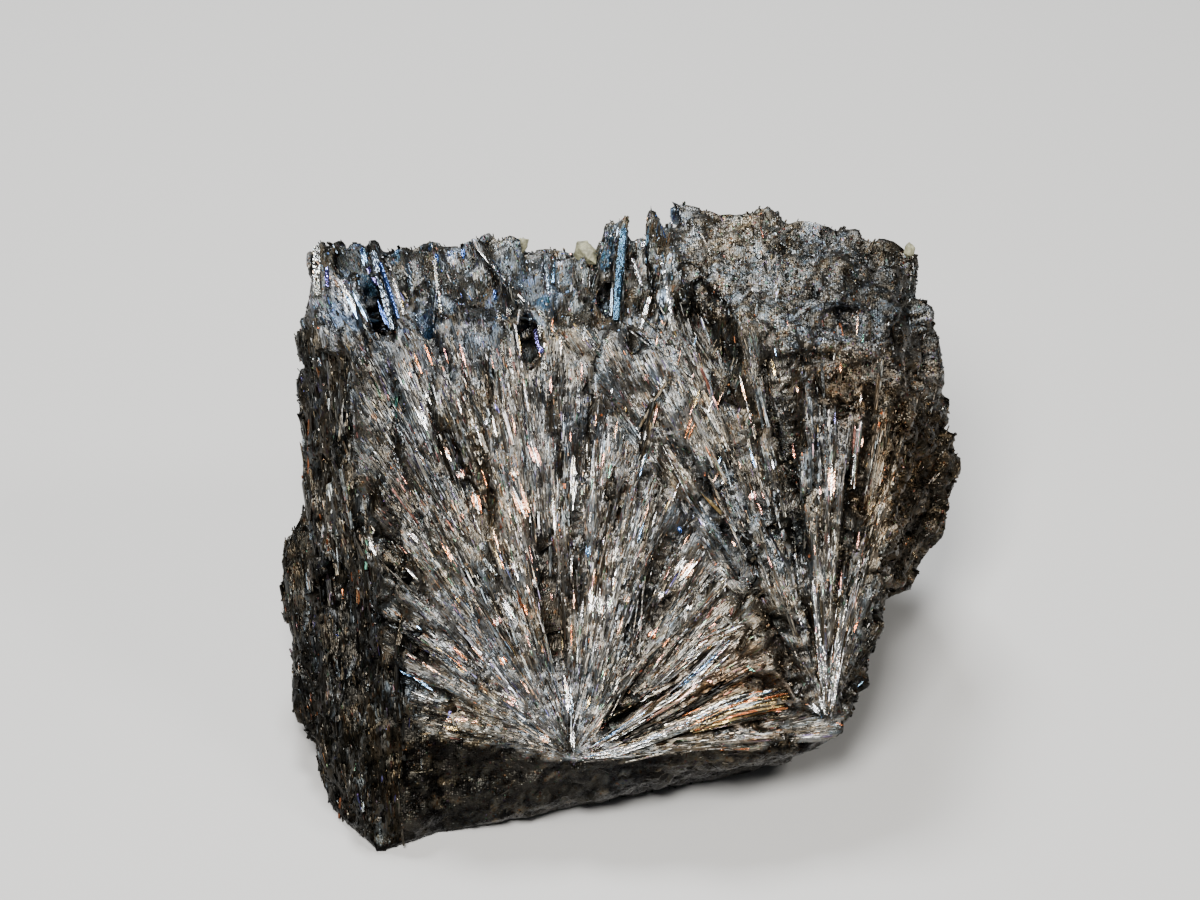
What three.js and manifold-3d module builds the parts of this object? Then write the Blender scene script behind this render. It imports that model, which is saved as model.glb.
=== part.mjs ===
// A stibnite crystal spray: a broken lump of antimony sulphide, grown as one mass, in which two fans
// of bladed crystals radiate from two roots low on its front face. Free-standing blades line the
// pockets along its top edge, and three small grains of a paler mineral sit on that edge.
// Millimetres, +Z up. The lump rests on a flat of its broken underside, which is the plane Z = 0,
// and the origin is the centre of its bounding box at that plane.
import * as THREE from "three";
import { ConvexGeometry } from "three/addons/geometries/ConvexGeometry.js";
import { mergeVertices } from "three/addons/utils/BufferGeometryUtils.js";
import Module from "manifold-3d";

const wasm = await Module();
wasm.setup();

// Driving dimensions. The fan face leans back, and most of the lump is laid out in its own frame:
// u across the face to the right, v up the face, w straight out of it.
const FACE_LOOKS_UP = 40; // degrees above the horizon that the fan face looks
const FACE = 2.0; // w of the fan face, under the blades
const SPRAY_A = { u: -3.5, v: 7.4 }; // root of the wide fan
const SPRAY_B = { u: 15.0, v: 10.2 }; // root of the narrow fan
const GRAIN_GAP = 0.3; // between a pale grain and the mass that it sits on

const lean = new THREE.Euler(THREE.MathUtils.degToRad(90 - FACE_LOOKS_UP), 0, 0);

// A point given in the fan face's frame, and one given in the part's own frame.
const onFace = (u, v, w) => new THREE.Vector3(u, v, w).applyEuler(lean);
const at = (x, y, z) => new THREE.Vector3(x, y, z);

// Seeded random numbers, so that every build grows the same crystals.
function generator(seed) {
  let state = seed >>> 0;
  return (low = 0, high = 1) => {
    state = (Math.imul(state, 1664525) + 1013904223) >>> 0;
    return low + ((high - low) * state) / 4294967296;
  };
}

// Solids and geometries.
function solidOf(geometry) {
  const bare = geometry.index ? geometry.toNonIndexed() : geometry.clone();
  bare.deleteAttribute("normal");
  bare.deleteAttribute("uv");
  const merged = mergeVertices(bare, 1e-4);
  return new wasm.Manifold(
    new wasm.Mesh({
      numProp: 3,
      vertProperties: merged.attributes.position.array,
      triVerts: new Uint32Array(merged.index.array),
    }),
  );
}

function geometryOf(solid) {
  const mesh = solid.getMesh();
  const geometry = new THREE.BufferGeometry();
  geometry.setAttribute("position", new THREE.BufferAttribute(mesh.vertProperties, 3));
  geometry.setIndex(new THREE.BufferAttribute(mesh.triVerts, 1));
  const flat = geometry.toNonIndexed();
  flat.computeVertexNormals();
  return flat;
}

const GOLDEN_ANGLE = 2.399963; // radians between one corner of a grain and the next

const hull = (points) => solidOf(new ConvexGeometry(points));
const joined = (solids) => solids.reduce((all, one) => all.add(one));

// A bladed crystal from root to tip: a flattened six-sided prism that widens from its root and ends
// in a slanting chisel. Facing is the direction that its broad side looks.
function blade(root, tip, { width, thick, facing, rootShare = 0.4, shoulder = 0.86, slant = 0.5 }) {
  const along = tip.clone().sub(root);
  const across = new THREE.Vector3().crossVectors(along, facing).normalize();
  const out = new THREE.Vector3().crossVectors(across, along).normalize();
  const ring = (share, size) =>
    [
      [-0.5, 0],
      [-0.3, 0.5],
      [0.3, 0.5],
      [0.5, 0],
      [0.3, -0.5],
      [-0.3, -0.5],
    ].map(([a, b]) =>
      root
        .clone()
        .addScaledVector(along, share)
        .addScaledVector(across, a * width * size)
        .addScaledVector(out, b * thick * size),
    );
  const edge = [-slant, slant].map((side) =>
    tip.clone().addScaledVector(across, side * width * 0.5).addScaledVector(along, side * 0.05),
  );
  return hull([...ring(0, rootShare), ...ring(shoulder, 1), ...edge]);
}

// A broken grain: the hull of a few jittered corners on a flattened ball, turned at random.
function grain(centre, size, random, corners = 9) {
  const turned = new THREE.Euler(random(0, Math.PI), random(0, Math.PI), random(0, Math.PI));
  const proportions = at(random(0.9, 1.1), random(0.7, 0.95), random(0.5, 0.75));
  const points = [];
  for (let i = 0; i < corners; i++) {
    const height = 1 - (2 * (i + 0.5)) / corners;
    const turn = i * GOLDEN_ANGLE + random(-0.4, 0.4);
    const radius = Math.sqrt(1 - height * height);
    points.push(
      at(Math.cos(turn) * radius, Math.sin(turn) * radius, height)
        .multiplyScalar(size * random(0.45, 0.6))
        .multiply(proportions)
        .applyEuler(turned)
        .add(centre),
    );
  }
  return hull(points);
}

// The outline of the underside where it meets the table, clockwise from the front foot.
const UNDERSIDE = [
  [-17.6, 0.4],
  [-21.5, 5],
  [-24, 17],
  [-23.6, 27],
  [-19, 33],
  [6, 34],
  [18, 31.5],
  [18.5, 27],
  [17, 20],
  [13.5, 11.5],
  [9.5, 8.6],
  [4.5, 7.2],
  [-1, 7.2],
  [-7, 6],
  [-10.4, 4.2],
  [-13.4, 2.4],
];
const underside = (from, to) => UNDERSIDE.slice(from, to).map(([x, y]) => at(x, y, 0));

// The broken mass under the blades, as overlapping chunks.
function brokenMass() {
  const wideFan = hull([
    onFace(-14, 8.6, 1),
    onFace(-3.5, 6.8, FACE),
    onFace(6, 7.2, FACE - 0.2),
    onFace(9.5, 14, 1.4),
    onFace(8.5, 24, FACE),
    onFace(5, 36, FACE),
    onFace(-8, 37.5, FACE),
    onFace(-20, 36.5, 1),
    onFace(-16.5, 16, 1.4),
    onFace(-21, 44.3, -4.2),
    onFace(-8.5, 44.4, -4.4),
    onFace(2, 43.2, -4.5),
    ...underside(3, 6),
    ...underside(10, 16),
    at(-19, 36, 20),
    at(6, 37.5, 22),
    at(-5, 34, 28),
  ]);
  const narrowFan = hull([
    onFace(10, 8.2, 0.4),
    onFace(15.4, 8.6, 1),
    onFace(17, 12, 1),
    onFace(19, 21, 1.2),
    onFace(20.6, 30, 1),
    onFace(19.6, 37, 1),
    onFace(8, 38, FACE),
    onFace(10.8, 22, FACE),
    onFace(13.4, 14, 1.4),
    onFace(20, 43, -5),
    onFace(5, 46.4, -6),
    ...underside(5, 12),
    at(5, 37.5, 22),
    at(19, 36, 20),
    at(10, 36.5, 31),
  ]);
  const leftWall = hull([
    onFace(-13.6, 9.6, 1.4),
    onFace(-17.2, 22, FACE),
    onFace(-20, 37, 1.2),
    onFace(-22.8, 44, -5),
    onFace(-23.9, 37.5, -5),
    onFace(-23.2, 31, -6),
    onFace(-23.2, 23, -8),
    ...underside(0, 5),
    at(-21.5, 35, 18),
    at(-19, 34, 30),
  ]);
  const leftBulge = hull([
    onFace(-13.6, 9.6, 1.4),
    onFace(-17.2, 22, FACE),
    onFace(-21, 27, -3),
    onFace(-24.6, 24, -8),
    onFace(-25.6, 18, -9),
    onFace(-24.9, 12.5, -7),
    onFace(-14, 3.4, 0.8),
    onFace(-19, 2.4, 0.6),
    ...underside(0, 5),
    ...underside(14, 16),
    at(-21.5, 35, 8),
  ]);
  const rightLobe = hull([
    onFace(18, 17, -8),
    onFace(21.5, 19, -9),
    onFace(24.2, 23.5, -9),
    onFace(24.9, 28, -8.5),
    onFace(23.6, 35.5, -7),
    onFace(21.2, 42.6, -6.5),
    onFace(18.5, 40, -1),
    onFace(19.5, 31, -1.5),
    onFace(17.5, 20, -3),
    at(18, 30, 0.5),
    at(16, 36, 10),
    at(22, 34.5, 16),
    at(17, 36, 29),
  ]);
  const topRight = hull([
    onFace(3.4, 47.8, -7),
    onFace(4.2, 44, -3.5),
    onFace(7, 39, 0.6),
    onFace(17, 39.4, 0.4),
    onFace(15.6, 45.4, -6.5),
    onFace(10, 47.2, -7),
    onFace(19.8, 44.2, -7.5),
    onFace(21.2, 42.6, -6.5),
    at(4, 37, 27),
    at(18, 36.5, 26),
  ]);
  const chin = hull([
    onFace(-14, 8.8, 1),
    onFace(-3.5, 6.8, FACE),
    onFace(6, 7, FACE - 0.2),
    onFace(13.2, 7.8, 0.6),
    onFace(12, 11.5, 1.2),
    onFace(2, 12, -8),
    ...underside(9, 16),
  ]);
  return joined([wideFan, narrowFan, leftWall, leftBulge, rightLobe, topRight, chin]);
}

// How far the blades of each fan reach, in millimetres, by their angle on the face in degrees from +u.
const REACH_A = [
  [6, 17],
  [35, 17],
  [50, 18.5],
  [64, 24],
  [72, 32],
  [90, 31.5],
  [108, 32.5],
  [122, 30],
  [136, 20],
  [150, 15],
  [166, 10.5],
];
const REACH_B = [
  [66, 11],
  [72, 17],
  [80, 24],
  [90, 28.5],
  [104, 29.5],
  [114, 30],
  [121, 26],
  [126, 15],
  [134, 9],
  [150, 6.5],
  [168, 6],
];

function reachAt(table, angle) {
  const next = Math.max(1, table.findIndex(([a]) => a >= angle));
  const [[a0, r0], [a1, r1]] = [table[next - 1], table[next]];
  return THREE.MathUtils.mapLinear(angle, a0, a1, r0, r1);
}

// One fan: long blades side by side over its whole spread, and a second layer of shorter, broken ones.
function fan(root, reach, { count, seed, spread }) {
  const random = generator(seed);
  const facing = onFace(0, 0, 1);
  const [first, last] = [reach[0][0], reach[reach.length - 1][0]];
  const blades = [];
  for (let i = 0; i < count; i++) {
    const angle = THREE.MathUtils.clamp(
      THREE.MathUtils.lerp(first, last, (i + 0.5) / count) + random(-1.5, 1.5),
      first,
      last,
    );
    const turn = THREE.MathUtils.degToRad(angle);
    const upper = i % 2 === 1;
    const length = reachAt(reach, angle) * (upper ? random(0.45, 0.85) : random(0.9, 1));
    const start = random(0.3, 1.2);
    const point = (r, w) => onFace(root.u + Math.cos(turn) * r, root.v + Math.sin(turn) * r, w);
    blades.push(
      blade(point(start, FACE - 0.2), point(length, FACE + (upper ? random(0.2, 0.9) : random(-0.5, 0.3))), {
        width: spread * length * random(0.75, 1.25),
        thick: upper ? random(1.4, 2) : random(1.6, 2.4),
        facing: facing.clone().add(at(random(-0.5, 0.5), random(-0.3, 0.3), 0)),
        rootShare: 0.3,
        shoulder: random(0.86, 0.95),
        slant: random(0.3, 0.5),
      }),
    );
  }
  return blades;
}

// The sheaf of strands that runs from the wide fan's root across the apron towards the other root.
function apronStrands() {
  const facing = onFace(0, 0.3, 1);
  const strands = [
    [onFace(-2.6, 7.6, 1.8), onFace(9.5, 14.4, 2.4), 1.5],
    [onFace(-2.4, 7.2, 2), onFace(10.5, 11.6, 2.6), 1.3],
    [onFace(-2.2, 6.9, 1.8), onFace(12.6, 9.6, 2), 1.4],
    [onFace(-1.5, 6.6, 1.4), onFace(12.4, 8.1, 1.2), 1.2],
  ];
  return strands.map(([root, tip, width]) =>
    blade(root, tip, { width, thick: 1.8, facing, rootShare: 0.5, shoulder: 0.8 }),
  );
}

// Columns that run down the left wall from its top corner.
function leftColumns() {
  const random = generator(31);
  const columns = [];
  const count = 11;
  for (let i = 0; i < count; i++) {
    const t = i / (count - 1);
    const u = THREE.MathUtils.lerp(-19.6, -22.6, t);
    const w = THREE.MathUtils.lerp(1.2, -6.4, t);
    const foot = THREE.MathUtils.lerp(21, 23, t) + random(0, 5);
    columns.push(
      blade(onFace(u, random(36, 39), w - 0.3), onFace(u + random(0, 1.6) - t, foot, w + 0.2), {
        width: random(1.4, 2.2),
        thick: random(1.2, 1.8),
        facing: onFace(-0.8, 0, 0.6),
        rootShare: 0.8,
        shoulder: 0.6,
      }),
    );
  }
  return columns;
}

// Pockets: slots between the crystals of the top edge, and a hollow below the ledge on the left wall.
// Each has two ends, a width across u, and a depth.
const POCKETS = [
  [onFace(-18.3, 42.2, -0.6), onFace(-16.6, 38.4, 1.4), 1.7, 4],
  [onFace(-14.6, 42, -1), onFace(-14, 38.2, 1.2), 1.1, 5],
  [onFace(-10, 42.6, -1.4), onFace(-8.6, 40.4, 0.4), 1.3, 4],
  [onFace(-6.8, 39.4, 1.2), onFace(-6.5, 36, 2.4), 1.3, 5],
  [onFace(-1.1, 43.6, -2), onFace(-1.1, 39, 0.6), 1.2, 4],
  [onFace(1.2, 45.6, -3.4), onFace(1.4, 38, 1), 0.9, 5],
  [onFace(-21.8, 20.5, -3), onFace(-19.2, 9, 0.8), 5, 4],
];
const pocket = ([high, low, width, thick]) =>
  blade(high, low, {
    width,
    thick,
    facing: onFace(0, 0, 1),
    rootShare: 0.9,
    shoulder: 0.7,
  });

// The free-standing crystals of the top edge, by root and tip.
function topCrystals() {
  const facing = onFace(0.4, 0, 1);
  const crystals = [
    [onFace(-22, 36, 0), onFace(-22, 44.9, -4), 1.4, 1.2],
    [onFace(-20.8, 36, 0.5), onFace(-20.6, 44.7, -3.4), 1.8, 1.2],
    [onFace(-17.6, 37, 1.2), onFace(-19.6, 42.4, -1.2), 1.3, 0.7],
    [onFace(-15.6, 37, 0.8), onFace(-18.2, 44.8, -3.8), 1.7, 0.9],
    [onFace(-14.8, 38, 0.2), onFace(-16.4, 44.7, -4), 1.4, 0.9],
    [onFace(-13, 37.6, 0.2), onFace(-13.6, 44.6, -4), 1.8, 1.2],
    [onFace(-6.2, 38.2, 1), onFace(-11.2, 45, -2.4), 0.9, 0.9],
    [onFace(-10, 38, 0), onFace(-10, 45.2, -4), 1.5, 1.2],
    [onFace(-7.6, 38, 0), onFace(-8.2, 45.2, -4.2), 1.7, 1.1],
    [onFace(-5.2, 38, 0), onFace(-5.6, 44, -3.6), 1.6, 1.2],
    [onFace(-3.2, 38, 0), onFace(-3.6, 43.6, -3.6), 1.8, 1.2],
    [onFace(-2.4, 38.5, 0), onFace(-0.9, 46.4, -4), 1.3, 1.2],
    [onFace(-0.4, 38, 0.8), onFace(0.1, 46.9, -3.4), 1.1, 1],
    [onFace(1.1, 38, -2.4), onFace(1.1, 45.2, -5.4), 2.2, 1.4],
    [onFace(2.4, 38.5, 0), onFace(1.9, 47.2, -4.2), 0.9, 1],
    [onFace(3.6, 39, 0), onFace(3.2, 46.4, -4.6), 1.3, 1.2],
    [onFace(-0.4, 38, -2), onFace(-0.4, 45.4, -5), 1.6, 1.2],
    [onFace(3.5, 38, -1), onFace(3.6, 45.8, -6), 3, 2.2],
  ];
  return crystals.map(([root, tip, width, thick]) =>
    blade(root, tip, { width, thick, facing, rootShare: 0.9, shoulder: 0.9, slant: 0.25 }),
  );
}

// Blocks that stand out of the broken skin where no fan covers it.
function rubble() {
  const random = generator(77);
  const patches = [
    { from: [6, 39, -0.6], to: [18, 44, -7.4], count: 13, size: 5 },
    { from: [19, 40, -5.5], to: [21.8, 22, -8.6], count: 9, size: 5 },
    { from: [-18, 5, -1.4], to: [-14.6, 4, -1], count: 2, size: 4.6 },
    { from: [-21, 8.6, -3], to: [-22.6, 18, -7], count: 6, size: 4.6 },
  ];
  const blocks = [];
  for (const { from, to, count, size } of patches) {
    for (let i = 0; i < count; i++) {
      const t = (i + 0.5) / count;
      const [u, v, w] = from.map((low, k) => THREE.MathUtils.lerp(low, to[k], k === 0 ? random() : t));
      blocks.push(grain(onFace(u, v, w - 1), size * random(0.8, 1.2), random));
    }
  }
  blocks.push(grain(onFace(19.6, 43.3, -7.4), 4.4, random));
  return blocks;
}

// Columns broken off side by side down the back.
function backColumns() {
  const random = generator(41);
  const columns = [];
  const count = 13;
  for (let i = 0; i < count; i++) {
    const x = THREE.MathUtils.lerp(-20, 18, i / (count - 1));
    const height = random(17, 27);
    columns.push(
      blade(at(x * 0.85, 33.4, random(1, 6)), at(x, 34.6, height), {
        width: random(3.4, 5),
        thick: random(3, 5),
        facing: at(random(-0.6, 0.6), 1, 0),
        rootShare: 0.8,
        shoulder: 0.85,
      }),
    );
  }
  return columns;
}

function halfSpaceBelowTable() {
  const box = new THREE.BoxGeometry(120, 120, 40);
  box.translate(0, 0, -20);
  return solidOf(box);
}

// Pale grains on the top edge: centre, size and seed.
const PALE_GRAINS = {
  pale_grain_middle: { centre: onFace(-2.9, 43.5, -4.2), size: 2.4, seed: 5 },
  pale_grain_left: { centre: onFace(-7.5, 44.1, -4.4), size: 1.6, seed: 8 },
  pale_grain_right: { centre: onFace(20.9, 43.9, -6.7), size: 1.7, seed: 13 },
};

const grownMass = joined([
  brokenMass(),
  ...fan(SPRAY_A, REACH_A, { count: 38, seed: 3, spread: 0.095 }),
  ...fan(SPRAY_B, REACH_B, { count: 24, seed: 9, spread: 0.085 }),
  ...apronStrands(),
  ...leftColumns(),
  ...backColumns(),
  ...rubble(),
]);
const carved = POCKETS.reduce((mass, slot) => mass.subtract(pocket(slot)), grownMass);
const wholeMass = joined([carved, ...topCrystals()]).subtract(halfSpaceBelowTable());

// Each pale grain's seat is cut from the mass, a little larger than the grain.
const seats = Object.values(PALE_GRAINS).map(({ centre, size, seed }) =>
  grain(centre, size + 2.6 * GRAIN_GAP, generator(seed), 12),
);
const mass = seats.reduce((left, seat) => left.subtract(seat), wholeMass);

const STIBNITE = new THREE.MeshStandardMaterial({ color: 0x6f6a64, roughness: 0.38, metalness: 0.9 });
const PALE = new THREE.MeshStandardMaterial({ color: 0x9a9070, roughness: 0.6, metalness: 0 });

function named(name, solid, material) {
  const mesh = new THREE.Mesh(geometryOf(solid), material);
  mesh.name = name;
  return mesh;
}

const largest = mass.decompose().sort((a, b) => b.volume() - a.volume())[0];
const part = new THREE.Group();
part.add(named("stibnite_mass", largest, STIBNITE));
for (const [name, { centre, size, seed }] of Object.entries(PALE_GRAINS)) {
  part.add(named(name, grain(centre, size, generator(seed), 12), PALE));
}

// The origin goes to the centre of the box, at the table.
const box = new THREE.Box3().setFromObject(part);
const centre = box.getCenter(new THREE.Vector3());
for (const mesh of part.children) mesh.position.set(-centre.x, -centre.y, -box.min.z);

export default part;
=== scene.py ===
# Looks of a stibnite crystal spray. Lengths are in millimetres until a mesh is written, in the row frame:
# +Z up, the fan face looking towards -Y and up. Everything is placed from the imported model's box.
import math

import bpy
import numpy as np
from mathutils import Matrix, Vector
from mathutils.bvhtree import BVHTree


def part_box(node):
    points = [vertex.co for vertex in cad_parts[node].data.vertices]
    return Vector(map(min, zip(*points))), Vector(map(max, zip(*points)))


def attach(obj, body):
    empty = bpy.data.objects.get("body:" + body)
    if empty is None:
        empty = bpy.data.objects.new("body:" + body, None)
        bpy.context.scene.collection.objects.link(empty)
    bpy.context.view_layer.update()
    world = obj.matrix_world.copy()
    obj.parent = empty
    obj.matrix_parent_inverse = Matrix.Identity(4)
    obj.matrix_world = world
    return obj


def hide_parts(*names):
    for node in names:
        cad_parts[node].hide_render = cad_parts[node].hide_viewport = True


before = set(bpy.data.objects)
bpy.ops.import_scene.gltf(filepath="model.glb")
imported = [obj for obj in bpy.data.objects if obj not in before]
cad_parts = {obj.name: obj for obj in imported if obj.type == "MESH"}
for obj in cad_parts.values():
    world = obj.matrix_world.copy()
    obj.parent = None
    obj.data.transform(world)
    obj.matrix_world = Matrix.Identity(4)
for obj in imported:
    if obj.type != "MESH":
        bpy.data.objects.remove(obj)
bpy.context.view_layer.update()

MM = 0.001
FACE_LOOKS_UP = 40.0  # degrees above the horizon that the fan face, and the camera's view, look
LOW, HIGH = (np.array(corner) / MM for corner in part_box("stibnite_mass"))
SIZE = HIGH - LOW


def spot(across, back, up):
    """A point given as shares of the mass's box."""
    return LOW + SIZE * (across, back, up)


def unit(vectors):
    return vectors / np.maximum(np.linalg.norm(vectors, axis=-1, keepdims=True), 1e-9)


# The fan face's own axes, and the two roots that the crystals radiate from.
TILT = math.radians(FACE_LOOKS_UP)
ACROSS = np.array([1.0, 0.0, 0.0])
UPWARD = np.array([0.0, math.sin(TILT), math.cos(TILT)])
OUTWARD = np.array([0.0, -math.cos(TILT), math.sin(TILT)])
ROOT_A = spot(0.4327, 0.0789, 0.2091)
ROOT_B = spot(0.7923, 0.131, 0.2583)
ROOT_BACK = spot(0.52, 0.816, -0.45)  # under the table, so the columns of the back fan only slightly
ROOT_LEFT = ROOT_A - 9.0 * ACROSS - 46.0 * UPWARD - 8.0 * OUTWARD  # far below, so the wall's columns stand


def on_face(across, upward, outward=0.0, root=ROOT_A):
    """A point given from a root along the fan face's axes."""
    return root + across * ACROSS + upward * UPWARD + outward * OUTWARD


# ---------------------------------------------------------------- noise

def lattice(cells, seed):
    """A number from 0 to 1 for each integer cell."""
    cells = cells.astype(np.int64)
    mixed = cells[..., 0] * 73856093 ^ cells[..., 1] * 19349663 ^ cells[..., 2] * 83492791 ^ seed * 9973
    mixed = (mixed ^ (mixed >> 13)) * 1274126177 & 0xFFFFFFFF
    mixed = (mixed ^ (mixed >> 16)) * 2246822519 & 0xFFFFFFFF
    return ((mixed ^ (mixed >> 15)) & 0xFFFFFF) / 0xFFFFFF


def soft_noise(points, size, seed):
    """Smooth noise from -1 to 1 with features of that size."""
    places = points / size
    base = np.floor(places)
    part = places - base
    part = part * part * (3 - 2 * part)
    total = np.zeros(len(points))
    for corner in np.ndindex(2, 2, 2):
        weight = np.prod(np.where(corner, part, 1 - part), axis=1)
        total += weight * lattice(base + corner, seed)
    return 2 * total - 1


def rough_noise(points, size, seed, octaves=3):
    layers = range(octaves)
    return sum(soft_noise(points, size / 2**k, seed + k) / 2**k for k in layers) / 1.6


def cells(points, size, seed):
    """Voronoi cells: each point's own cell value, and how far it is from the border, both 0 to 1."""
    places = points / size
    base = np.floor(places)
    nearest = np.full(len(points), 9.0)
    second = np.full(len(points), 9.0)
    value = np.zeros(len(points))
    for offset in np.ndindex(3, 3, 3):
        cell = base + (np.array(offset) - 1)
        jitter = np.stack([lattice(cell, seed + k) for k in range(3)], 1)
        away = np.linalg.norm(cell + jitter - places, axis=1)
        closer = away < nearest
        second = np.where(closer, nearest, np.minimum(second, away))
        value = np.where(closer, lattice(cell, seed + 7), value)
        nearest = np.where(closer, away, nearest)
    return value, np.clip(second - nearest, 0, 1)


# ---------------------------------------------------------------- how the crystals run

# The fans' lower edge: places across the face, and how far up it runs there, from the wide fan's root.
FAN_FOOT = (
    (-12.0, -10.0, -6.5, -2.3, 0.0, 4.5, 8.8, 14.0, 18.5, 21.0),
    (2.4, 1.6, 0.9, 0.0, -0.45, 0.0, 0.35, 0.75, 1.0, 1.2),
)


def side_of(points, normals):
    """Which part of the lump each surface point belongs to, as boolean masks."""
    from_a = points - ROOT_A
    wander = 1.7 * rough_noise(points, 3.2, 45)
    upward = from_a @ UPWARD
    across = from_a @ ACROSS
    out = normals @ OUTWARD
    from_b = points - ROOT_B
    lean_b = np.arctan2(from_b @ UPWARD, from_b @ ACROSS)
    masks = {}
    masks["under"] = (normals[:, 2] < -0.25) | (points[:, 2] < 0.6)
    masks["under"] |= (upward < np.interp(across, *FAN_FOOT)) & (across > -12)
    masks["back"] = (normals[:, 1] > 0.35) & ~masks["under"]
    taken = masks["under"] | masks["back"]
    masks["top"] = (upward + wander > 30.5) & (across < 7.5) & ~taken
    crust_foot = np.interp(across, (13.5, 17, 23), (31, 24.5, 23.5))
    masks["crust"] = (upward + wander > crust_foot) & (across >= 7.5) & ~taken
    taken |= masks["top"] | masks["crust"]
    masks["left"] = (normals[:, 0] < -0.42) & ~taken
    masks["left"] |= (across + wander < -10.6 - 0.25 * upward) & ~taken
    masks["lobe"] = ((normals[:, 0] > 0.45) | (out < 0.25)) & (across > 12) & ~taken & ~masks["left"]
    taken |= masks["left"] | masks["lobe"]
    owned_by_b = (lean_b < math.radians(125)) & (lean_b > math.radians(20))
    masks["fan_b"] = owned_by_b & ~taken
    masks["fan_a"] = ~owned_by_b & ~taken
    return masks


# Cracks that open between crystals: a root, an angle on the face, where they start and end, and a width.
CRACKS = [
    (ROOT_A, 97.5, 6, 17.5, 0.75),
    (ROOT_A, 95.0, 7.5, 10.5, 1.1),
    (ROOT_A, 90.0, 0, 2.4, 0.5),
    (ROOT_A, 88.6, 15.5, 23, 0.6),
    (ROOT_A, 112.0, 12, 21, 0.45),
    (ROOT_A, 66.0, 9, 20, 0.5),
    (ROOT_A, 41.0, 2.5, 9, 0.7),
    (ROOT_A, 26.0, 3, 13, 0.55),
    (ROOT_A, 10.0, 3, 12, 0.5),
    (ROOT_A, 113.5, 32.4, 37.2, 1.0),
    (ROOT_A, 109.3, 34.4, 36.8, 0.5),
    (ROOT_A, 108.7, 29.8, 34.0, 0.6),
    (ROOT_A, 107.9, 27.6, 30.4, 0.45),
    (ROOT_A, 96.2, 27.6, 31.8, 0.5),
    (ROOT_A, 91.6, 31.2, 32.9, 0.4),
    (ROOT_A, 87.1, 31.8, 34.4, 0.35),
    (ROOT_A, 85.5, 31.6, 36.8, 0.25),
    (ROOT_A, 83.2, 35.2, 37.6, 0.4),
    (ROOT_A, 81.3, 28.8, 30.8, 0.7),
    (ROOT_B, 98.5, 5, 28, 0.5),
    (ROOT_B, 118.0, 7, 22, 0.55),
    (ROOT_B, 150.0, 3, 6.5, 0.9),
    (ROOT_B, 122.0, 2.4, 8, 0.8),
    (ROOT_B, 84.0, 6, 20, 0.4),
    (ROOT_B, 107.0, 12, 26, 0.4),
]


def hairline_cracks(seed=91):
    """Thin short cracks at random angles in both fans."""
    random = np.random.default_rng(seed)
    made = []
    for root, low, high, count in ((ROOT_A, 22, 158, 26), (ROOT_B, 72, 122, 12)):
        for angle in random.uniform(low, high, count):
            near = random.uniform(3, 24)
            made.append((root, angle, near, near + random.uniform(2, 8), random.uniform(0.18, 0.36)))
    return made


CRACKS += hairline_cracks()


def crack_depth(points):
    """From 0 away from every crack of the fan face to 1 in the middle of one."""
    depth = np.zeros(len(points))
    for root, angle, near, far, width in CRACKS:
        away = points - root
        turn = math.radians(angle)
        heading = math.cos(turn) * ACROSS + math.sin(turn) * UPWARD
        reach = away @ heading
        aside = away @ (math.cos(turn) * UPWARD - math.sin(turn) * ACROSS)
        beside = (np.abs(aside) < 3) & (np.abs(away @ OUTWARD) < 9)
        close = np.flatnonzero((reach > near) & (reach < far) & beside)
        wander = 0.35 * soft_noise(points[close], 4.0, int(angle))
        share = (reach[close] - near) / (far - near)
        narrow = width * (0.35 + 1.3 * np.sqrt(share * (1 - share)))
        depth[close] = np.maximum(depth[close], np.exp(-(((aside[close] + wander) / narrow) ** 2) * 2))
    return depth


# Pockets between the crystals, sunk in and darkened with painted shade: a place on the fan face, half
# width, half height, lean in degrees and depth.
PITS = [
    (-16.5, 35.2, 0.7, 0.9, 10, 0.8),
    (-4.6, 31.9, 0.4, 0.45, 0, 0.7),
    (-1.2, 8.4, 0.5, 1.1, 6, 1.2),
    (14.7, 9.7, 0.5, 1.8, 68, 1.6),
    (16.2, 7.4, 0.35, 1.1, 86, 1.2),
    (-7.0, 12.6, 0.4, 0.7, 30, 0.8),
    (9.6, 25.4, 0.3, 1.2, 15, 0.8),
    (14.8, 27.8, 1.3, 0.5, 10, 0.9),
]


def pit_depth(points):
    """How deep, in millimetres, the pockets go at each point."""
    from_a = points - ROOT_A
    across = from_a @ ACROSS + 0.3 * soft_noise(points, 1.5, 81)
    upward = from_a @ UPWARD + 0.3 * soft_noise(points, 1.5, 82)
    depth = np.zeros(len(points))
    for place_across, place_up, half_wide, half_high, lean, deep in PITS:
        turn = math.radians(lean)
        x = across - place_across
        y = upward - place_up
        along = (x * math.cos(turn) + y * math.sin(turn)) / half_wide
        up = (y * math.cos(turn) - x * math.sin(turn)) / half_high
        depth = np.maximum(depth, deep * np.exp(-((along**2 + up**2) ** 2)))
    return depth * (from_a @ OUTWARD > -9)


def radial(points, normals):
    """The direction that the crystals run at each point."""
    masks = side_of(points, normals)
    way = unit(points - ROOT_A)
    way[masks["left"]] = unit(points[masks["left"]] - ROOT_LEFT)
    from_b = masks["fan_b"] | masks["lobe"] | masks["crust"]
    way[from_b] = unit(points[from_b] - ROOT_B)
    way[masks["back"]] = unit(points[masks["back"]] - ROOT_BACK)
    return way


def columns(points, root, count, length):
    """Coordinates whose unit cells are columns that radiate from a root, wider further out. Count is how
    many stand side by side in a radian at the root, and length how long each one is."""
    away = points - root
    reach = np.linalg.norm(away, axis=1, keepdims=True)
    return away / np.maximum(reach, 1e-6) * (count + reach / length)


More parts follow.
